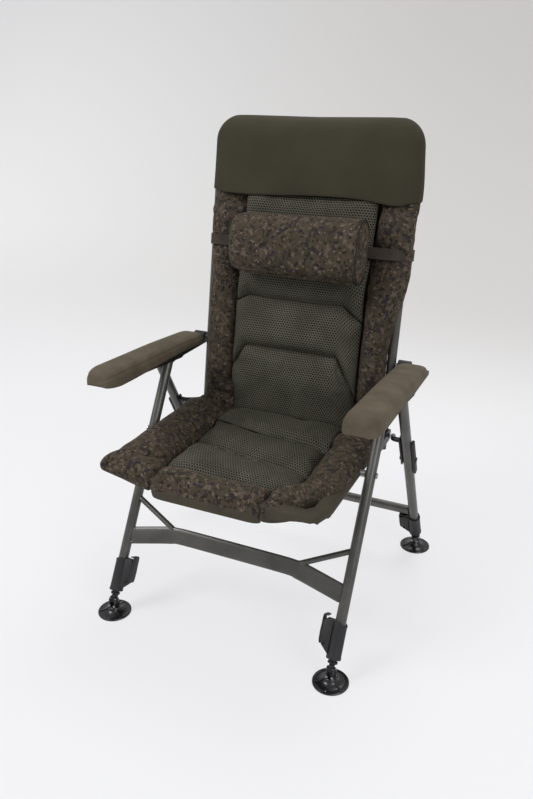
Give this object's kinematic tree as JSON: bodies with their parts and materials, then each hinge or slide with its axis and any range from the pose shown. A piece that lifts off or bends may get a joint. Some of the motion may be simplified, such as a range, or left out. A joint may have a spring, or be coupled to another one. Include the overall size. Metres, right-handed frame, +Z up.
{
  "type": "folding reclining chair",
  "caption": "Folding reclining fishing chair with a padded high back, neck pillow, padded arms and telescopic legs on swivelling mud feet.",
  "frame": {"origin": "on the ground, in the middle of the chair's footprint", "axes": "+Z up, +Y to the rear of the chair, +X to the right of a viewer who looks at its front along +Y"},
  "size_m": [0.7096, 0.6676, 1.1213],
  "materials": {
    "frame_paint": "satin gunmetal paint",
    "black_steel": "satin black paint",
    "zinc_steel": "bright zinc plate",
    "black_nylon": "matt moulded",
    "gloss_nylon": "glossy moulded",
    "arm_cloth": "smooth woven cloth over foam",
    "hood_cloth": "smooth woven cloth over foam",
    "camo_cloth": "printed camouflage cloth over foam",
    "mesh_cloth": "open spacer mesh over foam, with a camouflage border",
    "sling_cloth": "coated woven cloth",
    "strap_webbing": "woven elastic webbing"
  },
  "bodies": {
    "front_legs": {"leg_tube_front_left": "frame_paint", "leg_tube_front_right": "frame_paint", "leg_plug_front_left": "black_nylon", "leg_plug_front_right": "black_nylon", "leg_clamp_front_left": "black_nylon", "leg_clamp_front_right": "black_nylon", "front_arch_bar": "frame_paint", "front_brace_left": "frame_paint", "front_brace_right": "frame_paint", "apex_pin_left": "zinc_steel", "apex_pin_right": "zinc_steel"},
    "rear_legs": {"leg_tube_rear_left": "frame_paint", "leg_tube_rear_right": "frame_paint", "leg_plug_rear_left": "black_nylon", "leg_plug_rear_right": "black_nylon", "leg_clamp_rear_left": "black_nylon", "leg_clamp_rear_right": "black_nylon", "rear_cross_bar": "frame_paint", "lock_link_left": "black_steel", "lock_link_right": "black_steel"},
    "seat": {"seat_rail_left": "frame_paint", "seat_rail_right": "frame_paint", "seat_front_bow": "frame_paint", "seat_rear_bar": "frame_paint", "seat_hinge_plate_left": "black_steel", "seat_hinge_plate_right": "black_steel", "back_bolt_left": "zinc_steel", "back_bolt_right": "zinc_steel", "seat_bolt_left": "zinc_steel", "seat_bolt_right": "zinc_steel", "seat_sling": "sling_cloth", "seat_pad": "camo_cloth"},
    "back": {"back_tube_left": "frame_paint", "back_tube_right": "frame_paint", "back_top_bow": "frame_paint", "back_sling": "sling_cloth", "back_pad": "mesh_cloth", "back_hood": "hood_cloth", "arm_bolt_left": "zinc_steel", "arm_bolt_right": "zinc_steel"},
    "pillow": {"neck_pillow": "camo_cloth", "pillow_strap": "strap_webbing"},
    "arm_left": {"arm_base_left": "black_nylon", "arm_pad_left": "arm_cloth"},
    "arm_right": {"arm_base_right": "black_nylon", "arm_pad_right": "arm_cloth"},
    "clamp_lever_front_left": {"clamp_lever_front_left": "black_nylon"},
    "inner_leg_front_left": {"inner_leg_front_left": "black_steel"},
    "mud_foot_front_left": {"mud_foot_front_left": "gloss_nylon"},
    "clamp_lever_front_right": {"clamp_lever_front_right": "black_nylon"},
    "inner_leg_front_right": {"inner_leg_front_right": "black_steel"},
    "mud_foot_front_right": {"mud_foot_front_right": "gloss_nylon"},
    "clamp_lever_rear_left": {"clamp_lever_rear_left": "black_nylon"},
    "inner_leg_rear_left": {"inner_leg_rear_left": "black_steel"},
    "mud_foot_rear_left": {"mud_foot_rear_left": "gloss_nylon"},
    "clamp_lever_rear_right": {"clamp_lever_rear_right": "black_nylon"},
    "inner_leg_rear_right": {"inner_leg_rear_right": "black_steel"},
    "mud_foot_rear_right": {"mud_foot_rear_right": "gloss_nylon"},
    "lock_lever_left": {"lock_lever_left": "black_nylon"},
    "lock_lever_right": {"lock_lever_right": "black_nylon"}
  },
  "joints": [
    {"name": "frame_fold", "type": "hinge", "parent": "front_legs", "child": "seat", "pos_m": [0, -0.08243, 0.402], "axis": [1, 0, 0], "range_deg": [0, 50]},
    {"name": "rear_leg_fold", "type": "hinge", "parent": "front_legs", "child": "rear_legs", "pos_m": [0, 0.006, 0.556], "axis": [1, 0, 0], "range_deg": [-48, 0]},
    {"name": "back_fold", "type": "hinge", "parent": "seat", "child": "back", "pos_m": [0, 0.132, 0.402], "axis": [1, 0, 0], "range_deg": [0, 66]},
    {"name": "arm_lift_left", "type": "hinge", "parent": "back", "child": "arm_left", "pos_m": [-0.26, 0.16184, 0.57495], "axis": [1, 0, 0], "range_deg": [-68, 0]},
    {"name": "arm_lift_right", "type": "hinge", "parent": "back", "child": "arm_right", "pos_m": [0.26, 0.16184, 0.57495], "axis": [1, 0, 0], "range_deg": [-68, 0]},
    {"name": "pillow_height", "type": "slide", "parent": "back", "child": "pillow", "axis": [0, 0.17, 0.9854], "range_m": [-0.12, 0.03]},
    {"name": "clamp_front_left", "type": "hinge", "parent": "front_legs", "child": "clamp_lever_front_left", "pos_m": [-0.253, -0.26686, 0.08083], "axis": [0, 0.8672, -0.498], "range_deg": [0, 95]},
    {"name": "extend_front_left", "type": "slide", "parent": "front_legs", "child": "inner_leg_front_left", "axis": [0, -0.498, -0.8672], "range_m": [0, 0.11]},
    {"name": "swivel_front_left", "type": "hinge", "parent": "inner_leg_front_left", "child": "mud_foot_front_left", "pos_m": [-0.28, -0.29375, 0.034], "axis": [1, 0, 0], "range_deg": [-25, 25]},
    {"name": "clamp_front_right", "type": "hinge", "parent": "front_legs", "child": "clamp_lever_front_right", "pos_m": [0.253, -0.26686, 0.08083], "axis": [0, -0.8672, 0.498], "range_deg": [0, 95]},
    {"name": "extend_front_right", "type": "slide", "parent": "front_legs", "child": "inner_leg_front_right", "axis": [0, -0.498, -0.8672], "range_m": [0, 0.11]},
    {"name": "swivel_front_right", "type": "hinge", "parent": "inner_leg_front_right", "child": "mud_foot_front_right", "pos_m": [0.28, -0.29375, 0.034], "axis": [1, 0, 0], "range_deg": [-25, 25]},
    {"name": "clamp_rear_left", "type": "hinge", "parent": "rear_legs", "child": "clamp_lever_rear_left", "pos_m": [-0.2878, 0.26768, 0.08129], "axis": [0, 0.8758, 0.4828], "range_deg": [0, 95]},
    {"name": "extend_rear_left", "type": "slide", "parent": "rear_legs", "child": "inner_leg_rear_left", "axis": [0, 0.4828, -0.8758], "range_m": [0, 0.11]},
    {"name": "swivel_rear_left", "type": "hinge", "parent": "inner_leg_rear_left", "child": "mud_foot_rear_left", "pos_m": [-0.3148, 0.29375, 0.034], "axis": [1, 0, 0], "range_deg": [-25, 25]},
    {"name": "clamp_rear_right", "type": "hinge", "parent": "rear_legs", "child": "clamp_lever_rear_right", "pos_m": [0.2878, 0.26768, 0.08129], "axis": [0, -0.8758, -0.4828], "range_deg": [0, 95]},
    {"name": "extend_rear_right", "type": "slide", "parent": "rear_legs", "child": "inner_leg_rear_right", "axis": [0, 0.4828, -0.8758], "range_m": [0, 0.11]},
    {"name": "swivel_rear_right", "type": "hinge", "parent": "inner_leg_rear_right", "child": "mud_foot_rear_right", "pos_m": [0.3148, 0.29375, 0.034], "axis": [1, 0, 0], "range_deg": [-25, 25]},
    {"name": "lock_left", "type": "hinge", "parent": "rear_legs", "child": "lock_lever_left", "pos_m": [-0.3148, 0.11515, 0.358], "axis": [1, 0, 0], "range_deg": [0, 60]},
    {"name": "lock_right", "type": "hinge", "parent": "rear_legs", "child": "lock_lever_right", "pos_m": [0.3148, 0.11515, 0.358], "axis": [1, 0, 0], "range_deg": [0, 60]}
  ],
  "couplings": [
    {"joint": "rear_leg_fold", "follows": "frame_fold", "ratio": -0.96},
    {"joint": "back_fold", "follows": "frame_fold", "ratio": 1.32},
    {"joint": "arm_lift_left", "follows": "frame_fold", "ratio": -1.36},
    {"joint": "arm_lift_right", "follows": "frame_fold", "ratio": -1.36}
  ]
}
